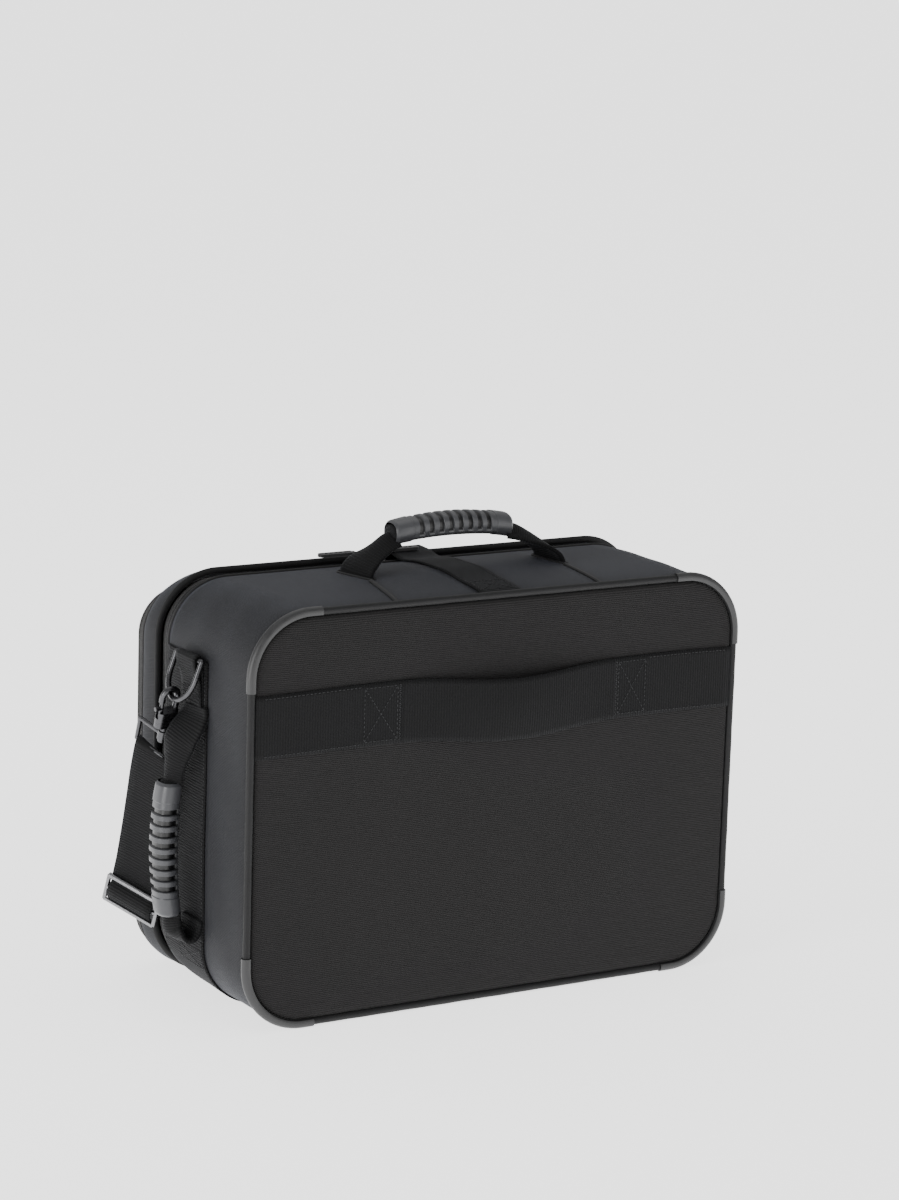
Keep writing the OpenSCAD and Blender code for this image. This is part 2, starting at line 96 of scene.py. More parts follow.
class Finish:
    """One material: constants go on the shader's own sockets, the rest is linked."""

    def __init__(self, name, **constants):
        self.material = bpy.data.materials.new(name)
        self.material.use_nodes = True
        self.tree = self.material.node_tree
        self.shader = self.tree.nodes["Principled BSDF"]
        for socket, value in constants.items():
            self.shader.inputs[socket.replace("_", " ")].default_value = value
        self.height = None

    def node(self, kind, settings, sockets):
        made = self.tree.nodes.new(kind)
        for key, value in settings.items():
            setattr(made, key, value)
        for key, value in sockets.items():
            if isinstance(value, Amount):
                self.tree.links.new(value.socket, made.inputs[key])
            elif isinstance(value, bpy.types.NodeSocket):
                self.tree.links.new(value, made.inputs[key])
            else:
                made.inputs[key].default_value = value
        return made

    def axes(self, source):
        """The three numbers of the Object or UV coordinates."""
        place = self.node("ShaderNodeTexCoord", {}, {})
        parts = self.node("ShaderNodeSeparateXYZ", {}, {0: place.outputs[source]})
        return [Amount(self, socket) for socket in parts.outputs]

    def noise(self, scale, detail, source="Object", stretch=(1, 1, 1)):
        place = self.node("ShaderNodeTexCoord", {}, {})
        mapped = self.node("ShaderNodeMapping", {}, {"Vector": place.outputs[source], "Scale": stretch})
        made = self.node(
            "ShaderNodeTexNoise", {}, {"Vector": mapped.outputs[0], "Scale": scale, "Detail": detail}
        )
        return Amount(self, made.outputs[0])

    def span(self, amount, low, high, to_low=0.0, to_high=1.0):
        """Turns low to high into to_low to to_high, softly at both ends."""
        made = self.node(
            "ShaderNodeMapRange", {"interpolation_type": "SMOOTHSTEP"},
            {0: amount, 1: low, 2: high, 3: to_low, 4: to_high},
        )
        return Amount(self, made.outputs[0])

    def colour(self, dark, light, amount):
        """Base colour from dark, where the amount is 0, to light, where it is 1."""
        made = self.node(
            "ShaderNodeMix", {"data_type": "RGBA"}, {0: amount, 6: (*dark, 1), 7: (*light, 1)}
        )
        self.tree.links.new(made.outputs[2], self.shader.inputs["Base Color"])

    def feed(self, socket, amount):
        self.tree.links.new(amount.socket, self.shader.inputs[socket])

    def relief(self, amount, depth):
        """Raises the surface by amount times depth, in metres."""
        sockets = {"Height": amount, "Distance": depth, "Strength": 1.0}
        if self.height is not None:
            sockets["Normal"] = self.height
        made = self.node("ShaderNodeBump", {}, sockets)
        self.height = made.outputs[0]
        self.tree.links.new(self.height, self.shader.inputs["Normal"])


def loft(name, columns, rows, place, size=(1.0, 1.0), closed=False):
    """A grid whose points are laid one by one; its UV map is in metres."""
    bpy.ops.object.select_all(action="DESELECT")
    bpy.ops.mesh.primitive_grid_add(x_subdivisions=columns, y_subdivisions=rows, size=2)
    piece = bpy.context.object
    piece.name = piece.data.name = name
    shares = [((v.co.x + 1) / 2, (v.co.y + 1) / 2) for v in piece.data.vertices]
    layer = piece.data.uv_layers[0].data
    for loop in piece.data.loops:
        u, v = shares[loop.vertex_index]
        layer[loop.index].uv = (u * size[0], v * size[1])
    for vertex, (u, v) in zip(piece.data.vertices, shares):
        vertex.co = place(u, v)
    if closed:
        tidy_mesh(piece)
    bpy.ops.object.shade_smooth()
    return piece


def tidy_mesh(piece):
    """Closes seams and poles, and points the faces outwards."""
    bpy.ops.object.select_all(action="DESELECT")
    piece.select_set(True)
    bpy.context.view_layer.objects.active = piece
    bpy.ops.object.mode_set(mode="EDIT")
    bpy.ops.mesh.select_all(action="SELECT")
    bpy.ops.mesh.remove_doubles(threshold=1e-6)
    bpy.ops.mesh.normals_make_consistent(inside=False)
    bpy.ops.object.mode_set(mode="OBJECT")


def shape_with(piece, kind, **settings):
    """Adds a modifier and applies it."""
    bpy.ops.object.select_all(action="DESELECT")
    piece.select_set(True)
    bpy.context.view_layer.objects.active = piece
    modifier = piece.modifiers.new(kind, kind)
    for key, value in settings.items():
        setattr(modifier, key, value)
    bpy.ops.object.modifier_apply(modifier=modifier.name)


def along(points, share):
    """The point at a share of a polyline's length, rounded by a cubic through its points."""
    points = [Vector(p) for p in points]
    steps = [(b - a).length for a, b in zip(points, points[1:])]
    left = share * sum(steps)
    k = 0
    while k < len(steps) - 1 and left > steps[k]:
        left -= steps[k]
        k += 1
    t = min(1.0, left / steps[k])
    a, b = points[k], points[k + 1]
    before = points[k - 1] if k else a * 2 - b
    after = points[k + 2] if k + 2 < len(points) else b * 2 - a
    return 0.5 * (
        2 * a + (b - before) * t + (2 * before - 5 * a + 4 * b - after) * t * t
        + (3 * a - before - 3 * b + after) * t ** 3
    )


def webbing_piece(name, points, acrosses, widths, thickness, rows=60, columns=6, curl=0.0):
    """Flat webbing along a line of points. Across, width and curl may change from point to
    point; curl bends the two edges away from the side that faces outwards."""
    curls = curl if isinstance(curl, list) else [curl] * len(widths)
    sizes = [Vector((width, bend, 0)) for width, bend in zip(widths, curls)]
    length = sum((Vector(b) - Vector(a)).length for a, b in zip(points, points[1:]))

    def place(u, v):
        middle = along(points, v)
        ahead = (along(points, min(1, v + 0.01)) - along(points, max(0, v - 0.01))).normalized()
        share = v * (len(points) - 1)
        k = min(int(share), len(points) - 2)
        across = Vector(acrosses[k]).lerp(Vector(acrosses[k + 1]), share - k)
        across = (across - ahead * across.dot(ahead)).normalized()
        width, bend, _ = sizes[k].lerp(sizes[k + 1], share - k)
        out = ahead.cross(across)
        side = 2 * u - 1
        return middle + across * side * width / 2 - out * bend * side * side

    piece = loft(name, columns, rows, place, (max(widths), length))
    shape_with(piece, "SOLIDIFY", thickness=thickness, offset=0.0)
    return piece


def webbing_finish(name, dark, light):
    finish = Finish(
        name, Roughness=0.8, Sheen_Weight=0.06, Sheen_Roughness=0.4, Specular_IOR_Level=0.22
    )
    finish.shader.inputs["Sheen Tint"].default_value = (0.6, 0.62, 0.68, 1)
    u, v, _ = finish.axes("UV")
    ribs = v.wave(0.0024)
    warp = u.wave(0.0012)
    slubs = finish.noise(420, 2, "UV", (0.5, 1, 1))
    wear = finish.noise(26, 4)
    finish.colour(dark, light, ribs * 0.55 + slubs * 0.35 + wear * 0.35 - 0.2)
    finish.relief(ribs + warp * 0.25 + slubs * 0.5, 0.00032)
    return finish.material


black_webbing = webbing_finish("black_webbing", (0.0014, 0.0014, 0.0015), (0.0060, 0.0060, 0.0066))

strap_width = 0.05
strap_thickness = 0.0017
level_y = (0, 1, 0)
left_route = [
    (-0.2508, 0.0186, 0.2095), (-0.2520, 0.0193, 0.2062), (-0.2525, 0.0255, 0.183),
    (-0.2520, 0.0320, 0.160), (-0.2520, 0.0450, 0.112), (-0.2530, 0.0545, 0.080),
    (-0.2480, 0.0560, 0.068),
]
left_across = [
    (-0.342, 0.872, 0.350), (-0.342, 0.872, 0.350), (-0.37, 0.90, 0.25), (-0.385, 0.907, 0.174),
    (-0.42, 0.906, 0.05), (-0.42, 0.906, 0.0), (-0.36, 0.93, 0.0),
]
strap_left = webbing_piece(
    "shoulder_strap_left", left_route, left_across, [0.0485] + [strap_width] * 6,
    2 * strap_thickness, rows=70, curl=0.0015,
)
right_route = [
    (0.2525, -0.014, 0.2035), (0.2525, -0.014, 0.185), (0.2515, -0.014, 0.160),
    (0.2465, -0.014, 0.130), (0.2424, -0.014, 0.100), (0.2420, -0.014, 0.066),
]
strap_right = webbing_piece(
    "shoulder_strap_right", right_route, [level_y] * 6, [strap_width] * 6,
    2 * strap_thickness, rows=50, curl=-0.0008,
)

front_x, front_y, strap_z, bend_radius = 0.2396, 0.113, 0.087, 0.024
front_sag = 0.0035


def front_bend(side, angle):
    """A point on the strap's bend at one corner of the front; 0 degrees is at the front."""
    turn = math.radians(angle)
    x = front_x - bend_radius + bend_radius * math.sin(turn)
    return side * x, front_y - bend_radius + bend_radius * math.cos(turn), strap_z


front_route = [(-front_x, y, strap_z) for y in (0.036, 0.055, front_y - bend_radius)]
front_route += [front_bend(-1, angle) for angle in (75, 60, 45, 30, 15, 0)]
front_route += [
    (x, front_y, strap_z - front_sag * (1 - (x / 0.2) ** 2)) for x in (-0.14, -0.07, 0.0, 0.07, 0.14)
]
front_route += [front_bend(1, angle) for angle in (0, 15, 30, 45, 60, 75, 90)]
front_route += [(front_x, y, strap_z) for y in (0.062, 0.045, 0.0, -0.038)]
strap_front = webbing_piece(
    "shoulder_strap_front", front_route, [(0, 0, 1)] * len(front_route),
    [strap_width] * len(front_route), strap_thickness, rows=260,
)
slide_at, slide_out = Vector((-0.2584, 0.053, 0.074)), Vector((-0.9063, -0.4226, 0))
slide_up, slide_across = Vector((0.1094, -0.2346, 0.9659)), (-0.4082, 0.8754, 0.2588)
strap_loop = webbing_piece(
    "shoulder_strap_loop",
    [
        slide_at + slide_out * out + slide_up * up
        for out, up in (
            (-0.0034, 0.0150), (-0.0016, 0.0112), (0.0002, 0.0076), (0.0024, 0.0040), (0.0031, 0.0),
            (0.0024, -0.0040), (0.0002, -0.0076), (-0.0020, -0.0100),
        )
    ],
    [slide_across] * 8, [0.0475] * 8, strap_thickness, rows=40,
)
for piece in (strap_left, strap_right, strap_front, strap_loop):
    piece.data.materials.append(black_webbing)
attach(strap_loop, "tri_glide")
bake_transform(strap_left)
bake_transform(strap_right)
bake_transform(strap_front)
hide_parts("strap_left_drop")
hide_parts("strap_right_drop")
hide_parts("strap_front_run", "strap_left_turn")
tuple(front_route[0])

# ---- Back panel ----
# Ballistic nylon over a stiff board, slightly padded, sewn to the piping all round.
corner_radius, base_half, side_height = 0.055, 0.18, 0.24
corner_arc = corner_radius * math.pi / 2
outline_spans = [base_half, corner_arc, side_height, corner_arc, 2 * base_half]
outline_spans += [corner_arc, side_height, corner_arc, base_half]
outline_length = sum(outline_spans)
# Half width, lowest, highest and corner radius
rear_shape = (0.235, 0.001, 0.351, corner_radius)
lid_rim_shape = (0.237, 0.0018, 0.353, 0.056)
lid_face_shape = (0.233, 0.010, 0.331, 0.040)
panel_y, panel_middle_z = -0.1089, 0.176


def around(distance, shape=rear_shape):
    """Point and outward direction on a rounded rectangle in X and Z. The distance runs
    anticlockwise from the middle of the base, in metres along the bag's own outline."""
    half, low, high, radius = shape
    distance %= outline_length
    k = 0
    while k < 8 and distance > outline_spans[k]:
        distance -= outline_spans[k]
        k += 1
    share = distance / outline_spans[k]
    centres = [
        (half - radius, low + radius), (half - radius, high - radius),
        (radius - half, high - radius), (radius - half, low + radius),
    ]
    if k % 2:
        angle = math.radians(90 * ((k - 1) // 2) - 90 + 90 * share)
        out = Vector((math.cos(angle), 0, math.sin(angle)))
        x, z = centres[(k - 1) // 2]
        return Vector((x, 0, z)) + out * radius, out
    out = Vector(((0, 0, -1), (1, 0, 0), (0, 0, 1), (-1, 0, 0), (0, 0, -1))[k // 2])
    ends = [(0, low + radius)] + centres + [(0, low + radius)]
    x, z = Vector(ends[k // 2]).lerp(Vector(ends[k // 2 + 1]), share)
    return Vector((x, 0, z)) + out * radius, out


def back_swell(x, z):
    """How far the padding pushes the back panel out, in metres."""
    pad = max(0.0, 1 - (x / 0.235) ** 4) * max(0.0, 1 - ((z - panel_middle_z) / 0.175) ** 4)
    ripple = 0.0003 * math.sin(31 * x + 2 * z) * math.sin(23 * z + 9 * x + 1)
    return 0.0016 * pad + ripple * pad


def back_point(u, v):
    rim, out = around(u * outline_length)
    rim = rim - out * 0.0066
    centre = Vector((rim.x * 0.35, 0, panel_middle_z))
    spot = rim.lerp(centre, v ** 1.3)
    tuck = 0.0022 * math.exp(-v * 30)
    return Vector((spot.x, panel_y - back_swell(spot.x, spot.z) + tuck, spot.z))


def cloth_ribs(finish, grain, depth, dark, light):
    """Heavy plain weave: level rows of thick threads, uneven along their length, that carry on
    round the edges of a panel."""
    x, y, z = finish.axes("Object")
    threads = ((z - panel_middle_z).math("ABSOLUTE") - y).wave(grain)
    cross = x.wave(grain * 0.8)
    slubs = finish.noise(95, 2, "Object", (1, 4, 14))
    fine = finish.noise(900, 1)
    patches = finish.noise(7, 4)
    finish.colour(dark, light, threads * 0.3 + slubs * 0.9 + fine * 0.35 + patches * 0.35 - 0.55)
    finish.relief(threads + cross * 0.35 + slubs * 0.9 + fine * 0.3, depth)


ballistic = Finish(
    "ballistic_nylon", Roughness=0.78, Sheen_Weight=0.05, Sheen_Roughness=0.5, Specular_IOR_Level=0.22
)
cloth_ribs(
    ballistic, 0.0016, 0.00028,
    (0.0052, 0.0048, 0.0048), (0.0145, 0.0134, 0.0136),
)
back_panel = loft("back_panel_cloth", 240, 36, back_point, closed=True)
shape_with(back_panel, "SOLIDIFY", thickness=0.0014, offset=-1.0)
back_panel.data.materials.append(ballistic.material)
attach(back_panel, "root")
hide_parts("back_panel")


# ---- Piping and corner guards ----
# Cloth-covered cord sewn round the back panel. Moulded guards clip over it at the corners.
def dress(finish, *names):
    """Gives carried-over parts their finish."""
    for name in names:
        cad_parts[name].data.materials.clear()
        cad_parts[name].data.materials.append(finish.material)


def tube_round(name, columns, rows, inset, middle_y, radius, shape=rear_shape, squash=1.0):
    """A cord or binding all round the bag, its middle set in from the outline."""
    def place(u, v):
        spot, out = around(u * outline_length, shape)
        turn = 2 * math.pi * v
        size = radius(u) if callable(radius) else radius
        side = spot + out * (size * math.cos(turn) - inset)
        return Vector((side.x, middle_y + size * squash * math.sin(turn), side.z))

    return loft(name, columns, rows, place, (outline_length, 0.02), closed=True)


side_cloth = Finish(
    "side_nylon", Roughness=0.7, Sheen_Weight=0.12, Sheen_Roughness=0.4, Specular_IOR_Level=0.3
)
side_cloth.shader.inputs["Sheen Tint"].default_value = (0.62, 0.66, 0.8, 1)
u, v, _ = side_cloth.axes("UV")
warp, weft = u.wave(0.0013), v.wave(0.0011)
wear = side_cloth.noise(9, 4) * 0.5 + side_cloth.noise(700, 1) * 0.3
side_cloth.colour(
    (0.0042, 0.0042, 0.0047), (0.0100, 0.0100, 0.0116), warp * 0.25 + weft * 0.25 + wear - 0.2
)
side_cloth.relief(warp + weft, 0.00012)
side_cloth.relief(side_cloth.noise(18, 2), 0.0006)

binding = Finish("binding_nylon", Roughness=0.6, Sheen_Weight=0.05, Specular_IOR_Level=0.3)
ribs = binding.axes("UV")[0].wave(0.0011)
binding.colour(
    (0.0022, 0.0022, 0.0024), (0.0075, 0.0075, 0.0082), ribs * 0.5 + binding.noise(40, 3) * 0.5
)
binding.relief(ribs, 0.0001)

piping = tube_round(
    "back_piping_cord", 420, 14, 0.0032, -0.1068,
    lambda u: 0.0031 + 0.00012 * math.sin(2 * math.pi * 41 * u) * math.sin(2 * math.pi * 17 * u + 1),
)
piping.data.materials.append(binding.material)
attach(piping, "root")
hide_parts("back_piping")

guard_plastic = Finish("guard_plastic", Roughness=0.42, Specular_IOR_Level=0.5)
scuffs = guard_plastic.noise(160, 4, "Object", (1, 1, 0.35))
guard_plastic.colour((0.013, 0.013, 0.0135), (0.027, 0.027, 0.028), scuffs)
guard_plastic.feed("Roughness", guard_plastic.span(scuffs, 0.3, 0.8, 0.36, 0.52))
guard_plastic.relief(guard_plastic.noise(1400, 2), 0.00006)
dress(guard_plastic, "corner_guards")


# ---- Rear gusset ----
# Padded side wall of coated nylon from the piping to the zip. Its top crowns a little
# between the sewn edges, and the wall tucks in beside the piping.
def wall_offset(distance, y):
    """How far out the rear wall's face stands from the outline, in metres."""
    share = (y + 0.1035) / 0.142
    distance %= outline_length
    fold = 0.0018 * math.exp(-share * 16) + 0.0006 * math.exp(-(1 - share) * 20)
    pad = 0.0012 * math.sin(math.pi * min(1, max(0, share)))
    spot, out = around(distance)
    crown = 0.0
    if out.z > 0.99:
        crown = 0.0048 * math.cos(min(1, abs(spot.x) / base_half) * math.pi / 2) ** 2
        crown *= math.sin(math.pi * min(1, max(0, share)) ** 1.35)
    dent = 0.0004 * math.sin(distance * 37 + 50 * y) * math.sin(70 * y + distance * 11)
    return -0.002 - fold + pad + crown + dent * (out.x != 0)


def wall_point(distance, y, lift=0.0):
    spot, out = around(distance)
    spot = spot + out * (wall_offset(distance, y) + lift)
    return Vector((spot.x, y, spot.z))


gusset = loft(
    "rear_gusset_cloth", 420, 30,
    lambda u, v: wall_point(u * outline_length, -0.1042 + 0.1442 * v),
    (outline_length, 0.144), closed=True,
)
shape_with(gusset, "SOLIDIFY", thickness=0.0018, offset=-1.0)
gusset.data.materials.append(side_cloth.material)
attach(gusset, "root")
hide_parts("gusset_shell")


# ---- Lining of the rear compartment ----
# Grey nylon taffeta over thin foam, sewn in channels, on the walls and the back board.
def lining_point(u, v):
    """Down the walls for v up to wall_share, then over the board to its middle."""
    wall_share, front_y, board_y, channel_depth = 0.45, 0.0378, -0.1037, 0.0012
    spot, out = around(u * outline_length)
    if v < wall_share:
        spot = spot - out * (0.0044 + 0.0008 * abs(math.sin(v * 40)))
        return Vector((spot.x, front_y + (board_y - front_y) * v / wall_share, spot.z))
    share = (v - wall_share) / (1 - wall_share)
    rim = spot - out * 0.0050
    spot = rim.lerp(Vector((rim.x * 0.3, 0, panel_middle_z)), share)
    channel = channel_depth * abs(math.sin(spot.x * 62.8)) * min(1, share * 8)
    return Vector((spot.x, board_y + channel, spot.z))


lining = Finish("grey_lining", Roughness=0.55, Sheen_Weight=0.3, Specular_IOR_Level=0.45)
x, _, z = lining.axes("Object")
warp, weft = x.wave(0.001), z.wave(0.001)
lining.colour(
    (0.05, 0.052, 0.058), (0.085, 0.087, 0.095), warp * 0.3 + weft * 0.3 + lining.noise(12, 4) * 0.5
)
lining.relief(warp + weft + lining.noise(60, 3) * 3, 0.00015)
rear_lining = loft("rear_lining_cloth", 240, 60, lining_point, closed=True)
shape_with(rear_lining, "SOLIDIFY", thickness=0.0008, offset=0.0)
rear_lining.data.materials.append(lining.material)
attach(rear_lining, "root")
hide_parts("gusset_lining")

board = Finish("grey_board", Roughness=0.8)
board.colour((0.03, 0.03, 0.03), (0.05, 0.048, 0.045), board.noise(220, 4))
board.relief(board.noise(500, 3), 0.0002)
dress(board, "back_board", "lid_board")
hoop = Finish("coated_steel", Roughness=0.38, Metallic=0.6)
hoop.colour((0.02, 0.02, 0.022), (0.05, 0.05, 0.052), hoop.noise(90, 4))
hoop.relief(hoop.noise(700, 2), 0.00005)
dress(hoop, "frame_hoop", "lid_hoop")

# ---- Front section ----
# A zipped lid: a nylon gusset and a padded front of ballistic nylon with a soft round edge,
# bound at its rim, lined inside.
lid_start_y, lid_seam_y, lid_edge_y = 0.0602, 0.081, 0.095


def lid_shape(share):
    return tuple(a + (b - a) * share for a, b in zip(lid_rim_shape, lid_face_shape))


def lid_point(u, y, round_share=0.0, face_share=0.0, inset=0.0):
    """A point on the lid: first along its side, then round its front edge, then on its face.
    The lining, which is inset, doesn't swell."""
    side = min(1.0, (y - lid_start_y) / (lid_edge_y - lid_start_y))
    spot, out = around(u * outline_length, lid_shape(side))
    swell = 0.0026 * math.sin(math.pi * max(0.0, side)) * (inset == 0)
    seam = 0.0008 * math.exp(-((y - lid_seam_y) / 0.0008) ** 2)
    edge = 0.015 - inset
    turn = round_share * math.pi / 2
    spot = spot - out * (0.001 * (1 - side) + seam - swell + inset + edge * (1 - math.cos(turn)))
    depth = y + edge * math.sin(turn)
    if face_share:
        centre = Vector((spot.x * 0.3, 0, 0.1705))
        spot = spot.lerp(centre, face_share)
        reach = (inset == 0) * face_share ** 0.6
        depth += 0.0011 * (1 - (1 - reach) ** 2)
        depth += 0.0003 * math.sin(19 * spot.x + 1) * math.sin(27 * spot.z) * reach
    return Vector((spot.x, depth, spot.z))


def lid_front_point(u, v, inset=0.0, start_y=lid_seam_y):
    """Along the side for v up to 0.12, round the edge up to 0.45, then over the face."""
    if v < 0.12:
        return lid_point(u, start_y + (lid_edge_y - start_y) * v / 0.12, inset=inset)
    if v < 0.45:
        return lid_point(u, lid_edge_y, (v - 0.12) / 0.33, inset=inset)
    return lid_point(u, lid_edge_y, 1.0, ((v - 0.45) / 0.55) ** 1.2, inset=inset)


lid_gusset = loft(
    "lid_gusset_cloth", 420, 16,
    lambda u, v: lid_point(u, lid_start_y + (lid_seam_y - lid_start_y) * v),
    (outline_length, 0.02), closed=True,
)
shape_with(lid_gusset, "SOLIDIFY", thickness=0.0016, offset=-1.0)
lid_gusset.data.materials.append(side_cloth.material)
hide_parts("lid_gusset")
lid_front = loft("lid_front_cloth", 320, 56, lid_front_point, closed=True)
shape_with(lid_front, "SOLIDIFY", thickness=0.0016, offset=-1.0)
lid_front.data.materials.append(ballistic.material)
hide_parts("lid_front")
lid_lining = loft(
    "lid_lining_cloth", 200, 40, lambda u, v: lid_front_point(u, v, 0.0046, 0.0612), closed=True
)
shape_with(lid_lining, "SOLIDIFY", thickness=0.0008, offset=-1.0)
lid_lining.data.materials.append(lining.material)
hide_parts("lid_lining")

rear_rim = tube_round("rear_rim_binding", 420, 16, 0.0038, 0.0415, 0.0026, squash=0.6)
lid_rim = tube_round("lid_rim_binding", 420, 16, 0.0031, 0.0587, 0.0030, lid_rim_shape, 0.58)
for piece, node, body in (
    (rear_rim, "rear_rim", "root"), (lid_rim, "lid_rim", "lid"), (lid_gusset, None, "lid"),
    (lid_front, None, "lid"), (lid_lining, None, "lid"),
):
    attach(piece, body)
    if node:
        piece.data.materials.append(binding.material)
        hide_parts(node)


# ---- Zip ----
# Two woven tapes and a coil of nylon monofilament on each, round all but the right side,
# where a cloth hinge takes their place; two nickel sliders with moulded pulls.
zip_from = base_half + corner_arc + 0.234
zip_length = outline_length - 0.230
coil_radius, coil_pitch = 0.0012, 0.0026
tape_finish = Finish("zip_tape_weave", Roughness=0.85, Sheen_Weight=0.2)
u, v, _ = tape_finish.axes("UV")
twill = (u + v).wave(0.0012)
tape_finish.colour(
    (0.005, 0.005, 0.005), (0.012, 0.012, 0.013), twill * 0.7 + tape_finish.noise(30, 3) * 0.4
)
tape_finish.relief(twill, 0.0002)
coil_finish = Finish("zip_monofilament", Roughness=0.35, Specular_IOR_Level=0.5)
coil_finish.colour((0.006, 0.006, 0.006), (0.014, 0.014, 0.015), coil_finish.noise(400, 2))
coil_finish.relief(coil_finish.noise(900, 2), 0.00005)


def tape_point(u, y, inset):
    spot, out = around(zip_from + zip_length * u)
    spot = spot - out * inset
    return Vector((spot.x, y, spot.z))


def coil_point(u, v, middle_y):
    turn = 2 * math.pi * v
    ridge = 0.78 + 0.22 * math.sin(2 * math.pi * zip_length * u / coil_pitch + turn)
    spot, out = around(zip_from + zip_length * u)
    spot = spot + out * (coil_radius * ridge * math.cos(turn) - 0.0052)
    return Vector((spot.x, middle_y + coil_radius * ridge * math.sin(turn), spot.z))


for name, node, body, start_y, end_y in (
    ("zip_tape_rear_weave", "zip_tape_rear", "root", 0.0400, 0.0494),
    ("zip_tape_lid_weave", "zip_tape_lid", "lid", 0.0506, 0.0600),
):
    tape = loft(
        name, 300, 6, lambda u, v: tape_point(u, start_y + (end_y - start_y) * v, 0.0068),
        (zip_length, 0.0095),
    )
    shape_with(tape, "SOLIDIFY", thickness=0.0007, offset=0.0)
    tape.data.materials.append(tape_finish.material)
    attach(tape, body)
    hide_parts(node)
for name, node, body, middle_y in (
    ("zip_coil_rear_teeth", "zip_coil_rear", "root", 0.04862),
    ("zip_coil_lid_teeth", "zip_coil_lid", "lid", 0.05138),
):
    coil = loft(name, 2000, 8, lambda u, v: coil_point(u, v, middle_y), closed=True)
    coil.data.materials.append(coil_finish.material)
    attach(coil, body)
    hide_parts(node)


def hinge_point(u, v):
    """The hinge sinks in a little between its two sewn edges."""
    return Vector((0.2338 - 0.003 * math.sin(math.pi * v), 0.0415 + 0.0170 * v, 0.058 + 0.234 * u))


hinge = loft("hinge_cloth", 60, 14, hinge_point, (0.234, 0.017))
shape_with(hinge, "SOLIDIFY", thickness=0.0012, offset=0.0)
hinge.data.materials.append(side_cloth.material)
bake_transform(hinge)
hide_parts("hinge_strip")


def metal_finish(name, dark, light, rough):
    finish = Finish(name, Metallic=1.0, Roughness=rough)
    rub = finish.noise(300, 5, "Object", (1, 1, 3))
    finish.colour(dark, light, rub)
    finish.feed("Roughness", finish.span(rub, 0.3, 0.75, rough - 0.07, rough + 0.12))
    finish.relief(finish.noise(1500, 3), 0.00003)
    return finish


slider_metal = metal_finish("slider_nickel", (0.42, 0.41, 0.40), (0.62, 0.61, 0.60), 0.25)
dress(slider_metal, "zip_slider_left", "zip_slider_right")
pull_finish = Finish("pull_rubber", Roughness=0.5, Specular_IOR_Level=0.45)
pull_finish.colour((0.012, 0.012, 0.013), (0.03, 0.03, 0.031), pull_finish.noise(120, 4))
pull_finish.relief(pull_finish.noise(1200, 2), 0.00008)
dress(pull_finish, "zip_pull_left", "zip_pull_right")

# ---- Trolley sleeve ----
# Webbing 52 mm wide across the back, sewn down at both sides. The loose middle stands off
# and sags a little, so that a trolley case's handle slides through.
sleeve_half, sleeve_width, sleeve_low_z = 0.2284, 0.052, 0.232
loose_from, loose_to = -0.096, 0.109
stand_off, sag = 0.0090, 0.0045


def sleeve_point(u, v):
    """Across the webbing, then along it from left to right."""
    x = sleeve_half * (2 * v - 1)
    share = (x - loose_from) / (loose_to - loose_from)
    arch = math.sin(math.pi * share) ** 2 if 0 < share < 1 else 0.0
    z = sleeve_low_z + sleeve_width * u - sag * arch - 0.001 * math.sin(x * 24 + 1)
    stand = stand_off * arch * (1 - 0.22 * (2 * u - 1) ** 2)
    pressed = 0.0 if 0 < share < 1 else 0.0007
    tuck = 0.0016 * max(0, abs(x) / sleeve_half - 0.975) / 0.025
    return Vector((x, panel_y - 0.0013 - back_swell(x, z) - stand + pressed + tuck, z))


sleeve = loft("trolley_sleeve_webbing", 12, 260, sleeve_point, (sleeve_width, 2 * sleeve_half))
shape_with(sleeve, "SOLIDIFY", thickness=0.0017, offset=0.0)
sleeve.data.materials.append(black_webbing)
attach(sleeve, "root")
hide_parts("trolley_sleeve")

# ---- Carry band, base panel and centre strip ----
# A wide webbing band runs down the left side, under the base and up the right side. A
# narrower strip runs forward over the top and bridges the zip. The base has a rubber sheet.
band_reach = base_half + corner_arc + side_height
band_start_y, band_width = -0.036, 0.075


def band_point(u, v):
    distance = band_reach * (2 * v - 1)
    return wall_point(distance, band_start_y + band_width * u, 0.0010)


band = loft("carry_band_webbing", 14, 420, band_point, (band_width, 2 * band_reach))
shape_with(band, "SOLIDIFY", thickness=0.0014, offset=0.0)
band.data.materials.append(black_webbing)
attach(band, "root")
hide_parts("carry_band")

top_middle = outline_length / 2


def top_z(x, y):
    """Height of the rear compartment's top."""
    return wall_point(top_middle - x, min(0.0385, max(-0.1035, y))).z


strip_width, bridge_z = 0.038, 0.3543


def strip_point(u, v):
    """Across the strip, then forwards from the piping to its end over the zip."""
    x = strip_width * (u - 0.5)
    y = -0.1026 + 0.1696 * v
    low = top_z(x, y) + 0.0011
    rise = min(1, max(0, (y - 0.020) / 0.030))
    rise = rise * rise * (3 - 2 * rise)
    return Vector((x, y, low + (bridge_z - low) * rise + 0.0004 * math.sin(y * 120)))


strip = loft("centre_strip_webbing", 8, 120, strip_point, (strip_width, 0.17))
shape_with(strip, "SOLIDIFY", thickness=0.0016, offset=0.0)
strip.data.materials.append(black_webbing)
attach(strip, "root")
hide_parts("keeper_tab")

base_rubber = Finish("base_rubber", Roughness=0.7, Specular_IOR_Level=0.35)
x, y, _ = base_rubber.axes("Object")
base_rubber.colour((0.012, 0.012, 0.012), (0.028, 0.028, 0.028), base_rubber.noise(60, 5))
base_rubber.relief((x + y).wave(0.004) * (x - y).wave(0.004), 0.0005)
dress(base_rubber, "base_panel")

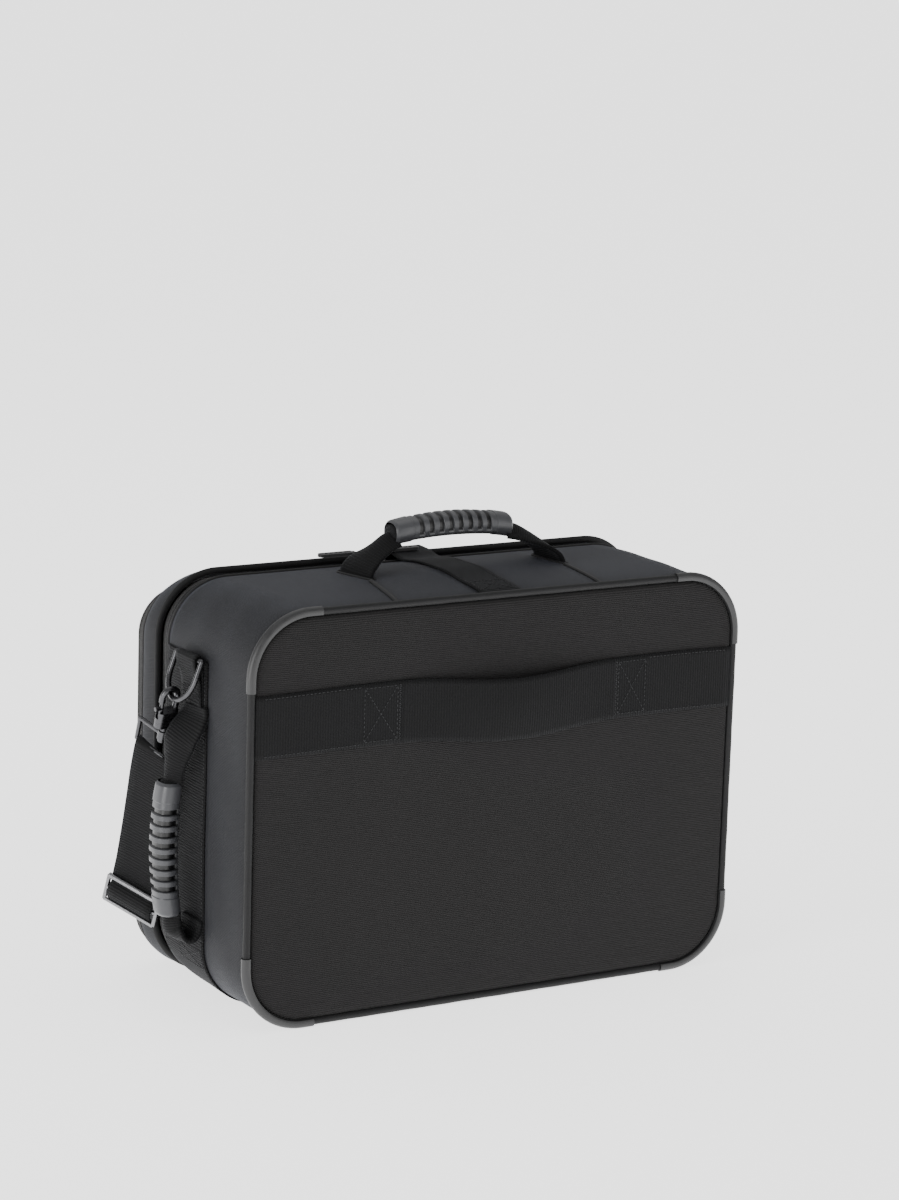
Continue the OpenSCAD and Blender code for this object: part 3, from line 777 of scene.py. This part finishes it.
# ---- Carry handles ----
# Each is webbing folded into a moulded grip. The grips have a smooth collar at both ends,
# ribs across the outer side and a plain rail along each edge; they are arched a little.
grip_length, grip_girth, slot_pitch = 0.113, 0.07, 0.0093
grip_plastic = Finish("grip_plastic", Roughness=0.34, Specular_IOR_Level=0.5)
wear = grip_plastic.noise(140, 5)
u, v, _ = grip_plastic.axes("UV")
from_middle = u - grip_length / 2
# Painted shade: this mask paints the grooves between the ribs near-black, as shade in those recesses,
# over the grooves that grip_point carves.
slot_shade = grip_plastic.span((from_middle - slot_pitch / 4).wave(slot_pitch), 0.46, 0.62)
slot_shade = slot_shade * grip_plastic.span(v.wave(grip_girth), 0.34, 0.40)
slot_shade = slot_shade * (from_middle.math("ABSOLUTE") < 4 * slot_pitch)
grip_plastic.colour((0.004, 0.004, 0.0045), (0.052, 0.053, 0.058), (1 - slot_shade) * (wear * 0.3 + 0.75))
grip_plastic.feed("Roughness", grip_plastic.span(wear, 0.3, 0.75, 0.28, 0.44))
grip_plastic.relief(grip_plastic.noise(1600, 2), 0.00004)

collar_length, grip_bow = 0.017, 0.0050


def rounded(value, power):
    """Raises a sine or cosine to a power and keeps its sign: below 1, the section is squarer."""
    return math.copysign(abs(value) ** power, value)


def grip_point(u, v, face):
    """Along x, arched towards z. The ribs are on the side that faces z, or turned from it by
    the angle face."""
    x = (u - 0.5) * grip_length
    turn = 2 * math.pi * v + face
    from_end = (grip_length / 2 - abs(x)) / collar_length
    middle = math.cos(math.pi * x / grip_length)
    collar = 0.0006 * (from_end < 0.95)
    half_y = 0.0119 + 0.0016 * middle + collar
    half_z = 0.0094 + 0.0008 * middle + collar
    height = half_z * rounded(math.sin(2 * math.pi * v), 0.85)
    size = 0.86 + 0.14 * math.sin(min(1.0, max(0.0, from_end * 6)) * math.pi / 2)
    ribbed = min(1, max(0, (abs(from_end) - 1.02) * 9)) * min(1, max(0, (height + 0.0034) / 0.0014))
    wave = -math.cos(2 * math.pi * x / slot_pitch)
    size -= 0.22 * min(1, max(0, (wave + 0.12) * 3.0)) * ribbed
    size += 0.05 * math.exp(-((height + 0.0050) / 0.0010) ** 2) * (from_end > 1.0)
    arch = grip_bow * (0.55 - (2 * x / grip_length) ** 2)
    y, z = half_y * rounded(math.cos(turn), 0.8), half_z * rounded(math.sin(turn), 0.85)
    return Vector((x, y * size, z * size + arch))


def grip_mesh(name, place_turn, place_at, face):
    piece = loft(
        name, 300, 56, lambda u, v: place_turn @ grip_point(u, v, face) + place_at,
        (grip_length, grip_girth), closed=True,
    )
    piece.data.materials.append(grip_plastic.material)
    return piece


def grip_end_plugs(name, place_turn, place_at):
    """Black webbing packed into the mouth at each end of the grip."""
    made = []
    for side in (-1, 1):
        spot = place_turn @ Vector((side * (grip_length / 2 - 0.001), 0, -0.0022)) + place_at
        bpy.ops.object.select_all(action="DESELECT")
        bpy.ops.mesh.primitive_uv_sphere_add(segments=24, ring_count=12, radius=1, location=(0, 0, 0))
        plug = bpy.context.object
        for vertex in plug.data.vertices:
            flat = Vector((vertex.co.x * 0.003, vertex.co.y * 0.0105, vertex.co.z * 0.0072))
            vertex.co = place_turn @ flat + spot
        bpy.ops.object.shade_smooth()
        made.append(plug)
    bpy.ops.object.select_all(action="DESELECT")
    for plug in made:
        plug.select_set(True)
    bpy.context.view_layer.objects.active = made[0]
    bpy.ops.object.join()
    made[0].name = made[0].data.name = name
    made[0].data.materials.append(black_webbing)
    return made[0]


handle_y = -0.015
top_turn = Matrix.Identity(3)
top_at = Vector((0, handle_y, 0.3885))
top_grip = grip_mesh("top_grip_moulded", top_turn, top_at, math.radians(8))
top_plugs = grip_end_plugs("top_grip_mouths", top_turn, top_at)
side_turn = Matrix(((0, 0, -1), (0, 1, 0), (1, 0, 0)))
side_at = Vector((-0.260, handle_y, 0.138))
side_grip = grip_mesh("side_grip_moulded", side_turn, side_at, math.radians(34))
side_plugs = grip_end_plugs("side_grip_mouths", side_turn, side_at)
for piece, body in (
    (top_grip, "top_handle"), (top_plugs, "top_handle"),
    (side_grip, "side_handle"), (side_plugs, "side_handle"),
):
    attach(piece, body)
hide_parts("top_grip")
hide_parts("side_grip")

foot_top = top_z(-0.098, handle_y)
folded_thickness = 0.0034
top_feet = ((-1, "left", 0.0880, -0.18), (1, "right", 0.1010, -0.10))
for side, word, foot_x, lean in top_feet:
    reach = foot_x - 0.0545
    rises = (
        (0.0, foot_top - 0.0020), (0.0002 / reach, foot_top + 0.0035), (0.10, 0.3625),
        (0.30, 0.3705), (0.54, 0.3780), (0.78, 0.3840), (1.0, 0.3862),
    )
    strap = webbing_piece(
        f"top_handle_strap_{word}",
        [(side * (foot_x - share * reach), handle_y, z) for share, z in rises],
        [(share * lean, 1, 0) for share in (1, 1, 1, 0.5, 0, 0, 0)],
        [0.040, 0.039, 0.036, 0.032, 0.0275, 0.0235, 0.0210], folded_thickness, columns=14,
        curl=[-side * bend for bend in (0.0, 0.0010, 0.0030, 0.0055, 0.0085, 0.0105, 0.0105)],
    )
    strap.data.materials.append(black_webbing)
    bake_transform(strap)
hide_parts("top_handle_straps", "top_handle_feet")

# Route, widths, leans, and the heights where the foot ends and the grip begins
side_routes = {
    "side_handle_strap_upper": (
        [
            (-0.2368, -0.0200, 0.2570), (-0.2385, -0.0205, 0.2495), (-0.2450, -0.0210, 0.2410),
            (-0.2530, -0.0200, 0.2300), (-0.2580, -0.0180, 0.2160), (-0.2598, -0.0160, 0.2040),
            (-0.2600, -0.0150, 0.1930),
        ],
        [0.036, 0.037, 0.037, 0.034, 0.029, 0.024, 0.0215],
        (0, -0.14, -0.30, -0.34, -0.22, -0.08, 0), 0.256, 0.196,
    ),
    "side_handle_strap_lower": (
        [
            (-0.2600, -0.0150, 0.0835), (-0.2598, -0.0155, 0.0750), (-0.2570, -0.0165, 0.0660),
            (-0.2500, -0.0180, 0.0610), (-0.2430, -0.0190, 0.0620), (-0.2382, -0.0190, 0.0685),
            (-0.2368, -0.0190, 0.0770),
        ],
        [0.0215, 0.0235, 0.028, 0.032, 0.034, 0.034, 0.034],
        (0, -0.08, -0.2, -0.2, -0.1, 0, 0), 0.062, 0.082,
    ),
}
bends = [0.0, 0.0, -0.0015, -0.0035, -0.006, -0.008, -0.009]
for name, (route, widths, leans, foot_z, grip_z) in side_routes.items():
    strap = webbing_piece(
        name, route, [(lean, 1, 0) for lean in leans], widths, folded_thickness, columns=14,
        curl=bends if foot_z > grip_z else bends[::-1],
    )
    strap.data.materials.append(black_webbing)
    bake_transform(strap)
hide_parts("side_handle_straps", "side_handle_feet")

# ---- Rings, hooks and the strap slide ----
# Dark nickelled steel. A webbing keeper folded over each ring's bar is sewn to the band.
ring_metal = metal_finish("ring_dark_nickel", (0.05, 0.05, 0.053), (0.11, 0.11, 0.115), 0.28)
hook_metal = metal_finish("hook_dark_nickel", (0.05, 0.05, 0.053), (0.12, 0.12, 0.125), 0.3)
glide_metal = metal_finish("slide_satin_nickel", (0.16, 0.16, 0.165), (0.30, 0.30, 0.31), 0.3)
dress(ring_metal, "d_ring_left", "d_ring_right")
dress(
    hook_metal, "hook_left", "hook_right", "hook_eye_left", "hook_eye_right",
    "trigger_left", "trigger_right", "hook_spring_left", "hook_spring_right",
)
dress(glide_metal, "tri_glide")

ring_y, bar_x, bar_z, fold_radius = -0.014, 0.241, 0.297, 0.0033
keeper_route = [(0.2362, 0.258), (0.2364, 0.272), (0.2368, 0.284), (0.2378, 0.2915)]
for angle in (180, 140, 100, 60, 20, -10):
    turn = math.radians(angle)
    keeper_route.append((bar_x + fold_radius * math.cos(turn), bar_z + fold_radius * math.sin(turn)))
keeper_route += [(0.2432, 0.2895), (0.2405, 0.2820), (0.2388, 0.2740), (0.2380, 0.2580)]
for side, word in ((-1, "left"), (1, "right")):
    keeper = webbing_piece(
        f"ring_keeper_{word}_web", [(side * x, ring_y, z) for x, z in keeper_route],
        [level_y] * len(keeper_route), [0.034] * len(keeper_route), 0.0014, rows=90, columns=8,
    )
    keeper.data.materials.append(black_webbing)
    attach(keeper, "root")
    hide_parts(f"ring_keeper_{word}")

# ---- Stitching and seams ----
# Thick bonded thread along everything that is sewn down, the welted seams that run back
# from the top handle's feet, and the lips of the slits that its webbing goes into.
thread = Finish("bonded_thread", Roughness=0.5, Specular_IOR_Level=0.4)
thread.colour((0.008, 0.008, 0.009), (0.022, 0.022, 0.025), thread.noise(300, 2))
thread.relief(thread.noise(900, 2), 0.00005)


def sewn(name, lines, surface, out, pitch=0.0036):
    """Stitches along polylines that are given in the two numbers of a surface."""
    bpy.ops.object.select_all(action="DESELECT")
    bpy.ops.mesh.primitive_uv_sphere_add(segments=6, ring_count=4, radius=1, location=(0, 0, 0))
    stitch = bpy.context.object
    for vertex in stitch.data.vertices:
        vertex.co = (vertex.co.x * 0.00145, vertex.co.y * 0.00034, vertex.co.z * 0.0003)
    bpy.ops.object.shade_smooth()
    copies = []
    for line in lines:
        for (a, b), (c, d) in zip(line, line[1:]):
            start, end = surface(a, b), surface(c, d)
            count = max(1, round((end - start).length / pitch))
            for k in range(count):
                share = (k + 0.5) / count
                spot = surface(a + (c - a) * share, b + (d - b) * share)
                ahead = surface(a + (c - a) * (share + 0.002), b + (d - b) * (share + 0.002)) - spot
                ahead.normalize()
                side = Vector(out).cross(ahead).normalized()
                turn = Matrix((ahead, side, ahead.cross(side))).transposed().to_4x4()
                copy = stitch.copy()
                copy.data = stitch.data.copy()
                copy.data.transform(Matrix.Translation(spot) @ turn)
                bpy.context.collection.objects.link(copy)
                copies.append(copy)
    bpy.data.objects.remove(stitch)
    bpy.ops.object.select_all(action="DESELECT")
    for copy in copies:
        copy.select_set(True)
    bpy.context.view_layer.objects.active = copies[0]
    bpy.ops.object.join()
    copies[0].name = copies[0].data.name = name
    copies[0].data.materials.append(thread.material)
    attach(copies[0], "root")
    return copies[0]


def boxed(a, b, c, d):
    """A box with a cross in it."""
    return [[(a, c), (b, c), (b, d), (a, d), (a, c), (b, d)], [(a, d), (b, c)]]


def zigzag(x, width, low, high, count):
    """A dense column of slanted stitches."""
    steps = [low + (high - low) * k / count for k in range(count + 1)]
    return [[(x + width * (k % 2), z) for k, z in enumerate(steps)]]


def on_sleeve(x, share):
    return sleeve_point(share, (x / sleeve_half + 1) / 2) + Vector((0, -0.00095, 0))


sleeve_lines = boxed(-0.131, -0.1005, 0.07, 0.93) + zigzag(-0.0995, 0.0028, 0.05, 0.95, 30)
sleeve_lines += boxed(0.113, 0.140, 0.07, 0.93) + zigzag(0.1095, 0.0028, 0.05, 0.95, 30)
for share in (0.045, 0.955):
    sleeve_lines += [[(-0.222, share), (-0.134, share)], [(0.143, share), (0.222, share)]]
sewn("trolley_sleeve_stitches", sleeve_lines, on_sleeve, (0, -1, 0))
side_start = base_half + corner_arc - 0.056
for side, word in ((-1, "left"), (1, "right")):

    def on_band(y, z):
        distance = side_start + z
        return wall_point(distance if side > 0 else outline_length - distance, y, 0.0020)

    band_lines = boxed(-0.031, 0.011, 0.034, 0.050)
    band_lines += [[(y, 0.030), (y, 0.285)] for y in (-0.0335, 0.0365)]
    sewn(f"carry_band_stitches_{word}", band_lines, on_band, (side, 0, 0))

    def on_keeper(y, z):
        return Vector((side * (0.2390 + 0.05 * (z - 0.258)), y, z))

    keeper_line = [(-0.0285, 0.2600), (0.0005, 0.2600), (0.0005, 0.2715), (-0.0285, 0.2715)]
    sewn(f"ring_keeper_stitches_{word}", [keeper_line + keeper_line[:1]], on_keeper, (side, 0, 0))


def on_strip(share, length):
    return strip_point(share, length) + Vector((0, 0, 0.0010))


strip_lines = [[(share, 0.02), (share, 0.62)] for share in (0.07, 0.93)]
sewn("centre_strip_stitches", strip_lines + boxed(0.1, 0.9, 0.03, 0.16), on_strip, (0, 0, 1))

for side, word, foot_x, lean in top_feet:

    def welt_point(u, v):
        y = -0.040 - 0.0625 * v
        x = side * (foot_x + (0.098 - foot_x) * v) + 0.0038 * (u - 0.5)
        return Vector((x, y, top_z(x, y) + 0.0011 * (1 - (2 * u - 1) ** 2)))

    def lip_point(u, v):
        turn, ring = 2 * math.pi * u, 2 * math.pi * v
        y = handle_y + 0.0232 * math.sin(turn)
        half_x = 0.0042 + 0.0014 * math.cos(ring)
        x = side * foot_x + lean * (y - handle_y) + half_x * rounded(math.cos(turn), 0.6)
        return Vector((x, y, top_z(x, y) + 0.0003 + 0.0012 * math.sin(ring)))

    welt = loft(f"top_seam_{word}", 6, 40, welt_point, (0.0038, 0.0625))
    shape_with(welt, "SOLIDIFY", thickness=0.0008, offset=-1.0)
    lip = loft(f"top_slit_{word}", 48, 8, lip_point, (0.1, 0.008), closed=True)
    for piece in (welt, lip):
        piece.data.materials.append(binding.material)
        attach(piece, "root")

# ---- Studio ----
# A pale floor that the light falls on evenly, and soft lamps above, left and behind.
floor_finish = Finish(
    "pale_floor", Roughness=0.9, Specular_IOR_Level=0.2,
    Emission_Strength=1.8, Emission_Color=(1, 1, 1, 1),
)
floor_finish.colour((0.90, 0.90, 0.90), (0.93, 0.93, 0.93), floor_finish.noise(3, 2))
bpy.ops.object.select_all(action="DESELECT")
bpy.ops.mesh.primitive_plane_add(size=110, location=(0, 0, 0))
floor = bpy.context.object
floor.name = "floor"
floor.data.materials.append(floor_finish.material)

for name, place, aim, size, power in (
    ("lamp_left", (-3.4, -0.7, 0.9), (0, 0, 0.2), 1.8, 62),
    ("lamp_top", (0.4, 0.9, 3.0), (0, 0, 0.2), 2.6, 14),
    ("lamp_right", (1.6, -3.2, 1.2), (0, 0, 0.2), 1.6, 16),
):
    bpy.ops.object.light_add(type="AREA", location=place)
    lamp = bpy.context.object
    lamp.name = name
    lamp.data.size = size
    lamp.data.energy = power
    lamp.rotation_euler = (Vector(aim) - Vector(place)).to_track_quat("-Z", "Y").to_euler()

world = bpy.data.worlds.new("studio")
world.use_nodes = True
world.node_tree.nodes["Background"].inputs[0].default_value = (1, 1, 1, 1)
world.node_tree.nodes["Background"].inputs[1].default_value = 0.6
bpy.context.scene.world = world
